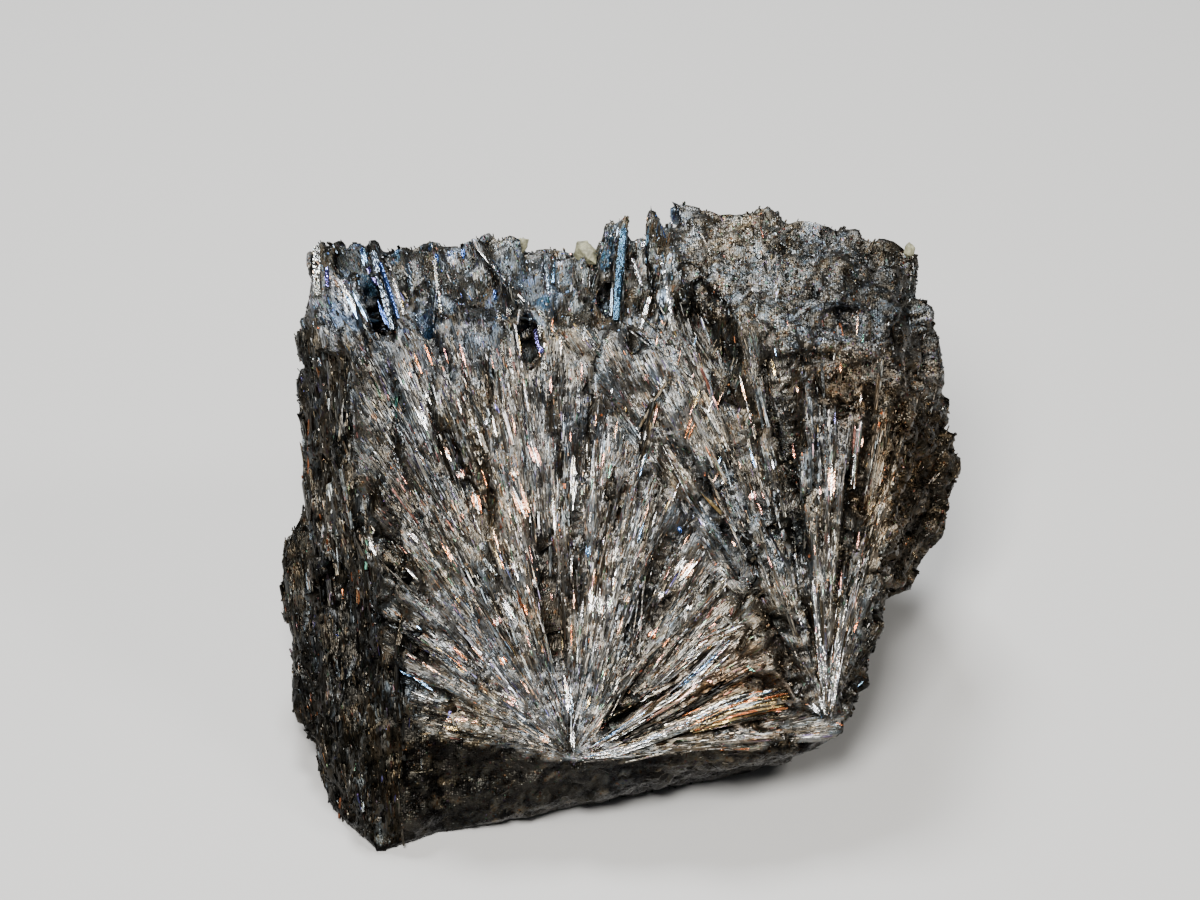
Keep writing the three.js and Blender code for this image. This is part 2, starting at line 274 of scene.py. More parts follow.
def column_relief(points, root, count, length, seed):
    """Relief with a height of its own for each column, and a groove between them."""
    value, border = cells(columns(points, root, count, length), 1.0, seed)
    return value - 0.5 - 0.6 * np.exp(-border / 0.12)


# ---------------------------------------------------------------- meshes

def linked(name, data):
    """A new object that shows data, linked to the scene."""
    made = bpy.data.objects.new(name, data)
    bpy.context.scene.collection.objects.link(made)
    return made


def mesh_object(name, points, faces, material, tint=None, map_uv=None, smooth=False):
    """Writes a mesh in metres, with per-point tint (r, g, b, gloss) and a given map."""
    mesh = bpy.data.meshes.new(name)
    counts = np.concatenate([np.full(len(group), group.shape[1]) for group in faces])
    corners = np.concatenate([group.ravel() for group in faces])
    mesh.vertices.add(len(points))
    mesh.vertices.foreach_set("co", (points * MM).astype(np.float32).ravel())
    mesh.loops.add(len(corners))
    mesh.loops.foreach_set("vertex_index", corners.astype(np.int32))
    mesh.polygons.add(len(counts))
    starts = np.concatenate([[0], np.cumsum(counts)[:-1]])
    mesh.polygons.foreach_set("loop_start", starts.astype(np.int32))
    mesh.polygons.foreach_set("loop_total", counts.astype(np.int32))
    mesh.update(calc_edges=True)
    mesh.polygons.foreach_set("use_smooth", np.full(len(counts), smooth))
    if tint is not None:
        colours = mesh.color_attributes.new("tint", "FLOAT_COLOR", "POINT")
        colours.data.foreach_set("color", tint.astype(np.float32).ravel())
    if map_uv is not None:
        layer = mesh.uv_layers.new(name="OFBake", do_init=False)
        flat_uv = np.concatenate([uv.reshape(-1, 2) for uv in map_uv])
        layer.uv.foreach_set("vector", flat_uv.astype(np.float32).ravel())
    mesh.validate()
    made = linked(name, mesh)
    mesh.materials.append(material)
    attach(made, "root")
    return made


def cell_maps(count):
    """A function that lays a map from 0 to 1 in each of that many cells of the whole map."""
    grid = math.ceil(math.sqrt(count))
    cell = np.stack([np.arange(count) % grid, np.arange(count) // grid], 1)[:, None]
    margin = 0.06
    return lambda uv: (cell + margin + (1 - 2 * margin) * np.array(uv)[None]) / grid


def tubes(name, lines, tips, facing, width, thick, sizes, tint, sides, material):
    """One mesh of many long crystals. lines holds each one's ring centres, tips its last point, sizes the
    share of its full width at each ring, and facing the direction its broad side looks."""
    count, rings = lines.shape[:2]
    way = unit(tips - lines[:, 0])
    across = unit(np.cross(way, facing))
    broad = np.cross(across, way)
    turns = (np.arange(sides) + 0.5) / sides * 2 * math.pi
    groove = np.where(np.arange(sides) % 2, 1.0, 0.78) if sides > 6 else np.ones(sides)
    ring = (across[:, None] * (np.cos(turns) * groove)[None, :, None] * width[:, None, None]
            + broad[:, None] * (np.sin(turns) * groove)[None, :, None] * thick[:, None, None]) * 0.5
    body = lines[:, :, None] + ring[:, None] * sizes[:, :, None, None]
    points = np.concatenate([body.reshape(count, -1, 3), tips[:, None]], axis=1)
    each = points.shape[1]
    start = (np.arange(count) * each)[:, None]
    around = [(i, (i + 1) % sides) for i in range(sides)]
    # On the map the cap is at the bottom, the body above it and the tip at the top.
    body_foot, body_head = 0.1, 0.88
    levels = np.linspace(body_foot, body_head, rings)
    quads, quad_uv = [], []
    for k in range(rings - 1):
        for i, j in around:
            here, above = k * sides, (k + 1) * sides
            quads.append(start + np.array([here + i, here + j, above + j, above + i]))
            left, right = i / sides, (i + 1) / sides
            low, high = levels[k], levels[k + 1]
            quad_uv.append([(left, low), (right, low), (right, high), (left, high)])
    top = (rings - 1) * sides
    tris = [start + np.array([top + i, top + j, rings * sides]) for i, j in around]
    tri_uv = [[(i / sides, body_head), ((i + 1) / sides, body_head), ((i + 0.5) / sides, 1.0)]
              for i, j in around]
    caps = [start + np.arange(sides)[::-1]]
    cap_uv = [[(0.5 + 0.5 * math.cos(t), 0.04 + 0.04 * math.sin(t)) for t in -turns]]
    placed = cell_maps(count)
    faces = [np.concatenate(group) for group in (quads, tris, caps)]
    map_uv = [np.concatenate([placed(uv) for uv in group]) for group in (quad_uv, tri_uv, cap_uv)]
    return mesh_object(name, points.reshape(-1, 3), faces, material,
                       np.repeat(tint, each, axis=0), map_uv)


def needles(name, spec, sides, material, middle=(0.45,), foot=0.75):
    """Straight or slightly bent crystals. spec holds an array for each of root, way, facing, length, width,
    thick, bend, tip (share of the length that tapers), skew and tint. Foot is the width's share at the
    root."""
    way = unit(spec["way"])
    long = spec["length"][:, None]
    between = [np.full(len(way), share) for share in middle]
    shares = np.stack([np.zeros(len(way)), *between, 1 - spec["tip"]], 1)[:, :, None]
    lines = spec["root"][:, None] + (way * long)[:, None] * shares + spec["bend"][:, None] * shares**2
    aside = unit(np.cross(way, spec["facing"])) * (spec["skew"] * spec["width"])[:, None]
    tips = spec["root"] + way * long + spec["bend"] + aside
    sizes = np.tile((foot, *[1.0 for share in middle], 0.88), (len(way), 1))
    shape = (spec["facing"], spec["width"], spec["thick"], sizes, spec["tint"])
    return tubes(name, lines, tips, *shape, sides, material)


def grains(name, centres, sizes, tint, material, seed):
    """One mesh of many angular broken grains: jittered, flattened boxes of eight corners and six faces."""
    random = np.random.default_rng(seed)
    count = len(centres)
    corners = unit(np.array([
        (1, 1, 1), (-1, -1, 1), (-1, 1, -1), (1, -1, -1),
        (-1, -1, -1), (1, 1, -1), (1, -1, 1), (-1, 1, 1),
    ], float))
    faces_of = np.array([
        (0, 7, 1, 6), (3, 4, 2, 5), (0, 6, 3, 5), (6, 1, 4, 3), (1, 7, 2, 4), (7, 0, 5, 2),
    ])
    shape = random.uniform(0.55, 1.25, (count, 8, 1)) * corners[None]
    shape += random.normal(0, 0.12, (count, 8, 3))
    shape *= random.uniform(0.5, 1.2, (count, 1, 3))
    turn = np.linalg.qr(random.normal(size=(count, 3, 3)))[0]
    turn *= np.sign(np.linalg.det(turn))[:, None, None]
    points = centres[:, None] + np.einsum("nij,nkj->nki", turn, shape) * sizes[:, None, None] * 0.5
    start = (np.arange(count) * 8)[:, None]
    placed = cell_maps(count)
    faces, map_uv = [], []
    for k, face in enumerate(faces_of):
        corner = np.array([(0, 0), (1, 0), (1, 1), (0, 1)]) / (3, 2) + (k % 3 / 3, k // 3 / 2)
        triangles = ((0, 1, 2), (0, 2, 3))
        for triangle in triangles:
            faces.append(start + face[list(triangle)])
            map_uv.append(placed(corner[list(triangle)]))
    return mesh_object(name, points.reshape(-1, 3), [np.concatenate(faces)], material,
                       np.repeat(tint, 8, axis=0), [np.concatenate(map_uv)])


# ---------------------------------------------------------------- colours

PALETTE = {
    "steel": (0.285, 0.288, 0.275),
    "warm": (0.222, 0.206, 0.176),
    "cool": (0.192, 0.215, 0.222),
    "silver": (0.74, 0.74, 0.76),
    "tan": (0.150, 0.130, 0.100),
    "brown": (0.115, 0.096, 0.068),
    "dark": (0.045, 0.043, 0.036),
    "black": (0.012, 0.011, 0.01),
    "copper": (0.90, 0.30, 0.12),
    "gold": (0.62, 0.45, 0.2),
    "rose": (0.86, 0.40, 0.32),
    "violet": (0.24, 0.22, 0.62),
    "blue": (0.10, 0.20, 0.55),
    "teal": (0.07, 0.15, 0.24),
    "sky": (0.28, 0.52, 0.92),
    "green": (0.16, 0.40, 0.30),
    "slate": (0.26, 0.34, 0.44),
    "hot": (1.0, 0.52, 0.34),
    # Pearl is the paler middle sliver of the widest glints: a painted highlight.
    "pearl": (1.0, 0.93, 0.88),
}
# Colour mixes of tarnish, and on the left wall and the underside also of painted shade.
TARNISH_AND_SHADE = {
    "fan": dict(steel=28, warm=32, cool=20, tan=12, silver=3, dark=1.5, copper=0.6, gold=0.5, rose=0.8,
                violet=0.1),
    # Left wall: dark partly from its own brown, partly painted shade of a wall that the light only grazes.
    "left": dict(dark=38, brown=34, cool=12, steel=6, warm=8, violet=0.5, copper=0.6, green=0.3),
    "top": dict(steel=14, dark=30, cool=24, silver=5, slate=10, teal=5, blue=2, brown=14, violet=0.6,
                sky=2),
    "crust": dict(steel=14, warm=22, cool=24, brown=26, dark=14, silver=1.5, gold=0.5, copper=0.4,
                  rose=0.4),
    "lobe": dict(dark=60, brown=34, warm=6, copper=0.4, gold=0.2),
    "back": dict(steel=16, warm=24, brown=30, dark=26, cool=8, silver=1.5, copper=0.6, violet=0.2),
    # Underside: near-black, mostly painted shade under the overhang, with a little brown of its own.
    "under": dict(black=62, dark=34, brown=4),
    "sparkle": dict(silver=40, steel=30, cool=14, gold=3, sky=3, rose=3, violet=1, brown=6),
    "sheaf": dict(silver=46, steel=32, sky=2, rose=4, brown=12),
    "coppery": dict(copper=16, gold=20, brown=46, dark=14, steel=6, rose=6),
}


def mixed_tints(random, count, mix, spread=0.14):
    """Tints for that many crystals: a colour from the mix, brighter or darker at random, and a gloss."""
    names = list(TARNISH_AND_SHADE[mix])
    weights = np.array([TARNISH_AND_SHADE[mix][n] for n in names], float)
    picked = random.choice(len(names), count, p=weights / weights.sum())
    colours = np.array([PALETTE[n] for n in names])[picked]
    colours = colours * np.exp(random.normal(0, spread, (count, 1)))
    gloss = np.clip(random.beta(2.2, 2.4, count), 0, 1)
    return np.concatenate([np.clip(colours, 0.01, 0.95), gloss[:, None]], 1)


def streaked(places, mix, seed, spread=0.2):
    """Tints that are even within each unit cell of places, picked from the mix's common colours."""
    value, _ = cells(places, 1.0, seed)
    names = [name for name, share in TARNISH_AND_SHADE[mix].items() if share >= 4]
    weights = np.array([TARNISH_AND_SHADE[mix][n] for n in names], float)
    bounds = np.cumsum(weights / weights.sum())
    picked = np.minimum(np.searchsorted(bounds, value), len(names) - 1)
    colours = np.array([PALETTE[n] for n in names])[picked]
    colours = colours * np.exp(spread * 3 * ((value * 617) % 1 - 0.5))[:, None]
    return np.concatenate([np.clip(colours, 0.01, 0.95), ((value * 253) % 1)[:, None]], 1)


# ---------------------------------------------------------------- materials

def node(tree, kind, values=(), **settings):
    """A new node. Values are given by socket: a socket among them is linked, and a number is set."""
    made = tree.nodes.new(kind)
    for key, value in settings.items():
        setattr(made, key, value)
    for key, value in dict(values).items():
        if isinstance(value, bpy.types.NodeSocket):
            tree.links.new(value, made.inputs[key])
        else:
            made.inputs[key].default_value = value
    return made


def maths(tree, operation, *values):
    """The result of a sum on numbers or their sockets."""
    return node(tree, "ShaderNodeMath", dict(enumerate(values)), operation=operation).outputs["Value"]


def vector_maths(tree, operation, *values):
    """The result of a sum on vectors or their sockets."""
    made = node(tree, "ShaderNodeVectorMath", dict(enumerate(values)), operation=operation)
    return made.outputs["Vector"]


def scaled(tree, places, factor):
    """A vector socket times a number or a number's socket."""
    values = {0: places, "Scale": factor}
    return node(tree, "ShaderNodeVectorMath", values, operation="SCALE").outputs["Vector"]


def ranged(tree, value, come, go):
    """A value from the range come, mapped to the range go."""
    values = {"Value": value, "From Min": come[0], "From Max": come[1], "To Min": go[0], "To Max": go[1]}
    return node(tree, "ShaderNodeMapRange", values).outputs["Result"]


def own_place(tree):
    """The point of the mesh that is shaded, in metres, as a socket."""
    return node(tree, "ShaderNodeTexCoord").outputs["Object"]


def principled(name):
    """A new material, its node tree and its shader."""
    material = bpy.data.materials.new(name)
    material.use_nodes = True
    return material, material.node_tree, material.node_tree.nodes["Principled BSDF"]


def away_from(tree, root):
    """The heading and the distance in millimetres from a root, as sockets."""
    away = vector_maths(tree, "SUBTRACT", own_place(tree), tuple(root * MM))
    reach = node(tree, "ShaderNodeVectorMath", {0: away}, operation="LENGTH")
    heading = vector_maths(tree, "NORMALIZE", away)
    return heading, maths(tree, "MULTIPLY", reach.outputs["Value"], 1 / MM)


def fibre_places(tree, root, width, length, jitter=0.9):
    """Coordinates whose unit cells are fibres that run from the root, from width to twice that across. The
    count of fibres doubles each time the distance does, at a step that differs from sheaf to sheaf."""
    heading, reach = away_from(tree, root)
    values = {"Vector": heading, "Scale": 9.0, "Detail": 3.0, "Roughness": 0.7}
    sheaves = node(tree, "ShaderNodeTexNoise", values)
    step = maths(tree, "MULTIPLY_ADD", sheaves.outputs["Fac"], 4 * jitter, -2 * jitter)
    doublings = maths(tree, "LOGARITHM", reach, 2.0)
    whole = maths(tree, "FLOOR", maths(tree, "ADD", doublings, step))
    across = maths(tree, "MULTIPLY", maths(tree, "POWER", 2.0, whole), 1 / width)
    along = maths(tree, "MULTIPLY", reach, 1 / length)
    return scaled(tree, heading, maths(tree, "ADD", across, along))


# Tarnish colours of a crystal's small faces, and the share of the faces from which each one starts.
TARNISH_BANDS = [
    (0.0, (1, 1, 1)),
    (0.42, (0.99, 0.95, 0.87)),
    (0.62, (0.88, 0.95, 0.98)),
    (0.74, (0.87, 0.77, 0.6)),
    (0.86, (1, 0.98, 0.95)),
    (0.91, (1.0, 0.62, 0.40)),
    (0.945, (0.7, 0.85, 1.0)),
    (0.96, (1.0, 0.5, 0.5)),
    (0.972, (0.6, 1.0, 0.72)),
    (0.984, (0.72, 0.6, 1.0)),
]


def tarnish_ramp(tree, value):
    made = node(tree, "ShaderNodeValToRGB", {"Fac": value})
    made.color_ramp.interpolation = "CONSTANT"
    ramp = made.color_ramp.elements
    ramp[1].position = TARNISH_BANDS[1][0]
    for band, (position, colour) in enumerate(TARNISH_BANDS):
        element = ramp[band] if band < 2 else ramp.new(position)
        element.color = (*colour, 1)
    return made.outputs["Color"]


def separated(tree, colour):
    return node(tree, "ShaderNodeSeparateColor", {"Color": colour}).outputs


SOOT = (0.05, 0.046, 0.039, 1)
GRAIN = 0.17  # millimetres across a sugary grain's small face


def stibnite_material(name, root, tilt=0.16, soot_share=0.5, fibre=(0.09, 0.8), shades=(0.82, 1.24)):
    """Metallic, with each crystal's own tint, small bright faces turned at random, and dull soot between.
    With a root the faces are fibres that run from it, and without one they are sugary grains."""
    material, tree, shader = principled(name)
    link = tree.links.new
    shader.inputs["Metallic"].default_value = 1.0
    tint = node(tree, "ShaderNodeAttribute", attribute_name="tint")
    place = own_place(tree)
    if root is None:
        places = scaled(tree, place, 1 / (GRAIN * MM))
        wide_places = place
        wide_scale = 1.4 / MM
    else:
        places = fibre_places(tree, root, *fibre)
        wide_places = fibre_places(tree, root, 0.3, 3.0)
        wide_scale = 1.0
    faces = node(tree, "ShaderNodeTexVoronoi", {"Vector": places, "Scale": 1.0, "Randomness": 1.0})
    channels = separated(tree, faces.outputs["Color"])
    shade = ranged(tree, channels["Red"], (0, 1), shades)
    tinted = vector_maths(tree, "MULTIPLY", tint.outputs["Color"], tarnish_ramp(tree, channels["Green"]))
    bundles = node(tree, "ShaderNodeTexVoronoi", {"Vector": wide_places, "Scale": wide_scale})
    lighter = ranged(tree, separated(tree, bundles.outputs["Color"])["Blue"], (0, 1), (0.78, 1.24))
    shaded = scaled(tree, tinted, maths(tree, "MULTIPLY", shade, lighter))

    values = {"Vector": place, "Scale": 0.55 / MM, "Detail": 5.0, "Roughness": 0.68}
    dust = node(tree, "ShaderNodeTexNoise", values)
    soot = ranged(tree, dust.outputs["Fac"], (0.5, 0.68), (0, soot_share))
    sooty = node(tree, "ShaderNodeMix", data_type="RGBA")
    link(soot, sooty.inputs["Factor"])
    link(shaded, sooty.inputs["A"])
    sooty.inputs["B"].default_value = SOOT
    link(sooty.outputs["Result"], shader.inputs["Base Color"])
    dull = ranged(tree, tint.outputs["Alpha"], (0, 1), (0.5, 0.18))
    link(maths(tree, "MULTIPLY_ADD", soot, 0.25, dull), shader.inputs["Roughness"])

    turned = vector_maths(tree, "ADD", faces.outputs["Color"], (-0.5, -0.5, -0.5))
    flat = node(tree, "ShaderNodeNewGeometry")
    leaning = vector_maths(tree, "ADD", scaled(tree, turned, 2 * tilt), flat.outputs["Normal"])
    bump = node(tree, "ShaderNodeBump", {
        "Strength": 0.5, "Distance": 0.1 * MM, "Height": faces.outputs["Distance"],
        "Normal": vector_maths(tree, "NORMALIZE", leaning),
    })
    bump.invert = True
    link(bump.outputs["Normal"], shader.inputs["Normal"])
    return material


def pale_material():
    """Cream to olive, dull and sugary."""
    material, tree, shader = principled("pale_mineral")
    link = tree.links.new
    values = {"Vector": own_place(tree), "Scale": 1.5 / MM, "Detail": 4.0, "Roughness": 0.7}
    grain = node(tree, "ShaderNodeTexNoise", values).outputs["Fac"]
    colours = node(tree, "ShaderNodeValToRGB", {"Fac": grain})
    colours.color_ramp.elements[0].position = 0.32
    colours.color_ramp.elements[0].color = (0.06, 0.058, 0.034, 1)
    colours.color_ramp.elements[1].position = 0.68
    colours.color_ramp.elements[1].color = (0.27, 0.26, 0.165, 1)
    link(colours.outputs["Color"], shader.inputs["Base Color"])
    link(ranged(tree, grain, (0.3, 0.7), (0.75, 0.4)), shader.inputs["Roughness"])
    bump = node(tree, "ShaderNodeBump", {"Strength": 0.6, "Distance": 0.1 * MM, "Height": grain})
    link(bump.outputs["Normal"], shader.inputs["Normal"])
    return material


STIBNITE = stibnite_material("stibnite_wide", ROOT_A)
STIBNITE_B = stibnite_material("stibnite_narrow", ROOT_B)
STIBNITE_LEFT = stibnite_material("stibnite_left", ROOT_LEFT)
STIBNITE_BACK = stibnite_material("stibnite_back", ROOT_BACK)
SUGARY = stibnite_material("stibnite_sugary", None, 0.34)
GLEAMING_WIDE = stibnite_material("stibnite_gleaming_wide", ROOT_A, 0.1, 0.25, (0.05, 4.0), (0.75, 1.3))
GLEAMING_NARROW = stibnite_material("stibnite_gleaming_narrow", ROOT_B, 0.1, 0.25, (0.05, 4.0), (0.75, 1.3))
FLASHING = stibnite_material("stibnite_flashing", ROOT_A, 0.08, 0.0, (0.05, 2.0), (0.8, 1.35))
PALE = pale_material()


# ---------------------------------------------------------------- the mass under the needles

def remeshed(node_name, voxel):
    """The CAD node's surface as an even mesh: points, normals and quads."""
    source = linked("source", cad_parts[node_name].data.copy())
    even = source.modifiers.new("even", "REMESH")
    even.mode = "VOXEL"
    even.voxel_size = voxel * MM
    solid = bpy.data.meshes.new_from_object(source.evaluated_get(bpy.context.evaluated_depsgraph_get()))
    points = np.empty(len(solid.vertices) * 3, np.float32)
    solid.vertices.foreach_get("co", points)
    normals = np.empty(len(solid.vertices) * 3, np.float32)
    solid.vertex_normals.foreach_get("vector", normals)
    quads = np.empty(len(solid.polygons) * 4, np.int32)
    solid.polygons.foreach_get("vertices", quads)
    bpy.data.objects.remove(source)
    bpy.data.meshes.remove(solid)
    in_mm = points.reshape(-1, 3).astype(float) / MM
    return in_mm, normals.reshape(-1, 3).astype(float), quads.reshape(-1, 4)


def banded(points, seed=71):
    """Brightness that changes from one sheaf of crystals to the next, and in broad sooty patches."""
    away = points - ROOT_A
    sheaf_value, _ = cells(columns(points, ROOT_A, 13, 9), 1.0, seed)
    patch = rough_noise(points, 4.5, seed + 3)
    shade = (0.74 + 0.56 * sheaf_value**1.3) * (1 + 0.34 * patch)
    upward = away @ UPWARD
    across = away @ ACROSS
    # Painted shade: the lower left of the fans is darkened where the bulge above shades it. The high left,
    # the far right, the top and the left of the wide fan are made darker too.
    low_left_shade = np.clip((16 - upward) / 8, 0, 1) * np.clip((-10 - across) / 2, 0, 1)
    high_left = np.clip((upward - 12) / 8, 0, 1) * np.clip((-8 - across) / 6, 0, 1)
    far_right = np.clip((across - 17) / 4, 0, 1)
    high = np.clip((upward - 16) / 8, 0, 1)
    leftward = np.clip((-3 - across) / 5, 0, 1) * np.clip((24 - upward) / 6, 0, 1)
    darker = (1 - 0.6 * low_left_shade) * (1 - 0.32 * high_left) * (1 - 0.4 * far_right) * (1 - 0.24 * high)
    darker *= 1 - 0.27 * leftward
    return 0.8 * np.clip(shade, 0.4, 2.0) * darker


# Patches of the face, tinted, lighter or darker: a place, two radii in millimetres, and the colour.
PATCHES = [
    (11.5, 5.2, 4.0, 3.0, (0.98, 0.70, 0.50)),
    (19.6, 26.0, 3.2, 3.2, (0.66, 0.52, 0.38)),
    (24.0, 21.0, 4.0, 7.0, (1.15, 0.92, 0.68)),
    (14.5, 17.0, 1.6, 9.0, (1.12, 1.12, 1.10)),
    (0.0, 14.0, 5.5, 10.0, (1.25, 1.24, 1.28)),
]


def shading(points):
    """The banded brightness with its painted shade at the lower left, broad patches that are a little
    warmer or cooler, those of PATCHES, and bluish tarnish near the top at the left."""
    drift = rough_noise(points, 5.0, 77)
    hue = np.stack([1.01 + 0.12 * drift, np.ones(len(points)), 1.02 - 0.2 * drift], 1)
    away = points - ROOT_A
    across = away @ ACROSS + 0.6 * rough_noise(points, 2.4, 78)
    upward = away @ UPWARD + 0.6 * rough_noise(points, 2.4, 79)
    for place_across, place_up, half_wide, half_high, colour in PATCHES:
        x = (across - place_across) / half_wide
        y = (upward - place_up) / half_high
        share = np.exp(-(x**2) - y**2)
        hue *= 1 + (np.array(colour) - 1) * share[:, None]
    bluish = np.clip((upward - 24) / 8, 0, 1) * np.clip((4 - across) / 12, 0, 1)
    hue *= 1 + (np.array([0.93, 1.0, 1.12]) - 1) * bluish[:, None]
    return banded(points)[:, None] * hue


def thickness(points, normals, quads, most=8.0):
    """How much mass lies under each point of a surface, in millimetres."""
    tree = BVHTree.FromPolygons(points.tolist(), quads.tolist())
    found = np.full(len(points), most)
    for place, (point, normal) in enumerate(zip(points - 0.02 * normals, normals)):
        hit, _, _, away = tree.ray_cast(Vector(point), Vector(-normal), most)
        if hit is not None:
            found[place] = away
    return found


def broken_surface():
    """The mass's own surface, with columns, grooves and granular patches."""
    points, normals, quads = remeshed("stibnite_mass", 0.38)
    masks = side_of(points, normals)
    from_b = masks["fan_b"] | masks["lobe"] | masks["crust"]
    relief = column_relief(points, ROOT_A, 17, 7, 11)
    relief = np.where(from_b, column_relief(points, ROOT_B, 17, 7, 12), relief)
    relief = np.where(masks["back"], column_relief(points, ROOT_BACK, 14, 9, 13), relief)
    relief = 0.75 * np.where(masks["left"], column_relief(points, ROOT_LEFT, 30, 9, 14), relief)
    value, border = cells(points, 2.1, 21)
    lumps = 1.2 * (value - 0.55) - 0.5 * np.exp(-border / 0.1)
    granular = masks["lobe"] | masks["crust"]
    relief = np.where(granular, 0.45 * relief + lumps, relief)
    relief = np.where(masks["left"], 0.9 * relief + 0.5 * lumps, relief)
    relief = np.where(masks["under"], 0.2 * relief + 0.35 * lumps, relief)
    relief += 0.35 * rough_noise(points, 2.6, 31)
    gaps = crack_depth(points)
    pits = pit_depth(points)
    relief -= 1.5 * gaps + pits
    flat = np.clip(points[:, 2] / 1.2, 0, 1)
    lift = np.maximum(relief * flat - 0.15, -0.25 * thickness(points, normals, quads))
    moved = points + normals * lift[:, None]
    moved[:, 2] = np.maximum(moved[:, 2], np.where(points[:, 2] < 0.2, 0, moved[:, 2]))
    moved = np.clip(moved, LOW, HIGH)
    tint = np.empty((len(points), 4))
    streaks = dict(fan_a=("fan", ROOT_A, 26), top=("top", ROOT_A, 26), fan_b=("fan", ROOT_B, 26),
                   left=("left", ROOT_LEFT, 70), back=("back", ROOT_BACK, 26))
    # The left wall's dark mix here and the underside's near-black one below are partly painted shade.
    for side, (mix, root, count) in streaks.items():
        tint[masks[side]] = streaked(columns(points[masks[side]], root, count, 3), mix, 55)
    for side in ("crust", "lobe", "under"):
        tint[masks[side]] = streaked(points[masks[side]] / 0.5, side, 56)
    tint[:, :3] *= 0.92 * shading(points)
    # Painted shade: the skin is darkened in the cracks and pockets, on top of their sunk relief.
    tint[:, :3] *= (1 - 0.85 * np.maximum(gaps, np.minimum(pits, 1)))[:, None]
    tint[:, 3] *= 0.6
    mass = mesh_object("mass_surface", moved, [quads], STIBNITE, tint, smooth=True)
    for other in (STIBNITE_B, STIBNITE_BACK, STIBNITE_LEFT, SUGARY):
        mass.data.materials.append(other)
    wears = np.where(masks["fan_b"], 1, 0)
    wears = np.where(masks["back"], 2, wears)
    wears = np.where(masks["left"], 3, wears)
    wears = np.where(granular | masks["under"], 4, wears)[quads[:, 0]]
    mass.data.polygons.foreach_set("material_index", wears.astype(np.int32))
    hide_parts("stibnite_mass")
    fresh = np.empty(len(points) * 3, np.float32)
    mass.data.vertex_normals.foreach_get("vector", fresh)
    return moved, fresh.reshape(-1, 3).astype(float), quads


SKIN, SKIN_NORMALS, SKIN_QUADS = broken_surface()
CORNERS = SKIN[SKIN_QUADS]
QUAD_AREAS = 0.5 * np.linalg.norm(
    np.cross(CORNERS[:, 2] - CORNERS[:, 0], CORNERS[:, 3] - CORNERS[:, 1]), axis=1
)
QUAD_CENTRES = CORNERS.mean(1)
QUAD_NORMALS = unit(SKIN_NORMALS[SKIN_QUADS].mean(1))
QUAD_SIDES = side_of(QUAD_CENTRES, QUAD_NORMALS)
SKIN_TREE = BVHTree.FromPolygons(SKIN.tolist(), SKIN_QUADS.tolist())


def scattered(random, side, per_mm2, where=None):
    """Random points on one side of the skin, with their normals."""
    mask = QUAD_SIDES[side]
    if where is not None:
        mask = mask & where(QUAD_CENTRES)
    chosen = np.flatnonzero(mask)
    areas = QUAD_AREAS[chosen]
    count = int(areas.sum() * per_mm2)
    quads = chosen[random.choice(len(chosen), count, p=areas / areas.sum())]
    share = random.dirichlet(np.ones(4), count)
    return (CORNERS[quads] * share[:, :, None]).sum(1), QUAD_NORMALS[quads]


def gap_at(points):
    """From 0 on solid crystal to 1 in a crack or a pocket."""
    return np.maximum(crack_depth(points), np.minimum(pit_depth(points), 1))


def root_reach(points):
    return np.minimum(np.linalg.norm(points - ROOT_A, axis=1), np.linalg.norm(points - ROOT_B, axis=1))


def laid(random, points, normals, mix, length, width, flatness=0.6, stray=0.05, lift=0.1, stand=0.5):
    """Crystals that lie along the skin the way the spray runs there. Length and width are (low, high)."""
    keep = ((gap_at(points) < 0.3) | (random.random(len(points)) < 0.08)) & (root_reach(points) > 0.7)
    points, normals = points[keep], normals[keep]
    count = len(points)
    way = radial(points, normals)
    sway = np.stack([soft_noise(points, 3.5, 300 + k) for k in range(3)], 1)
    way = unit(way + 0.12 * sway + random.normal(0, stray, (count, 3)))
    steep = (way * normals).sum(1)
    along = unit(way - normals * steep[:, None])
    rise = np.where(np.abs(steep) < 0.55, random.uniform(-0.02, lift, count), np.abs(steep))
    way = unit(along * np.sqrt(1 - np.minimum(rise, 0.98) ** 2)[:, None] + normals * rise[:, None])
    reach = root_reach(points)
    long = length[0] + (length[1] - length[0]) * random.beta(1.3, 2.6, count)
    long = np.minimum(long, stand / np.maximum(rise, 0.02) + 0.3)
    long = np.minimum(long, 0.4 + 1.1 * reach)
    wide = width[0] + (width[1] - width[0]) * random.beta(1.3, 2.6, count)
    wide *= np.clip(reach / 8, 0.35, 1)
    behind = np.minimum(long * 0.45, np.maximum(reach - 0.25, 0.1))
    root = points - way * behind[:, None] - normals * (wide * 0.3)[:, None]
    facing = unit(normals + random.normal(0, 0.42, (count, 3)))
    bend = normals * (random.normal(0, 0.015, count) * long)[:, None]
    spec = dict(root=root, way=way, facing=facing, length=long, width=wide, bend=bend)
    spec["thick"] = wide * random.uniform(flatness * 0.6, min(1.0, flatness * 1.4), count)
    spec["tip"] = random.choice([0.02, 0.06, 0.2, 0.35], count, p=[0.45, 0.25, 0.18, 0.12])
    spec["skew"] = random.uniform(-0.3, 0.3, count)
    spec["tint"] = mixed_tints(random, count, mix)
    spec["tint"][:, :3] *= shading(points)
    return spec


def buried(point):
    """Whether the skin lies all round a point."""
    looks = ((0, 0, 1), (1, 0, 0), (-1, 0, 0), (0, -1, 0), (0, 1, 0))
    return all(SKIN_TREE.ray_cast(point, Vector(look))[0] is not None for look in looks)


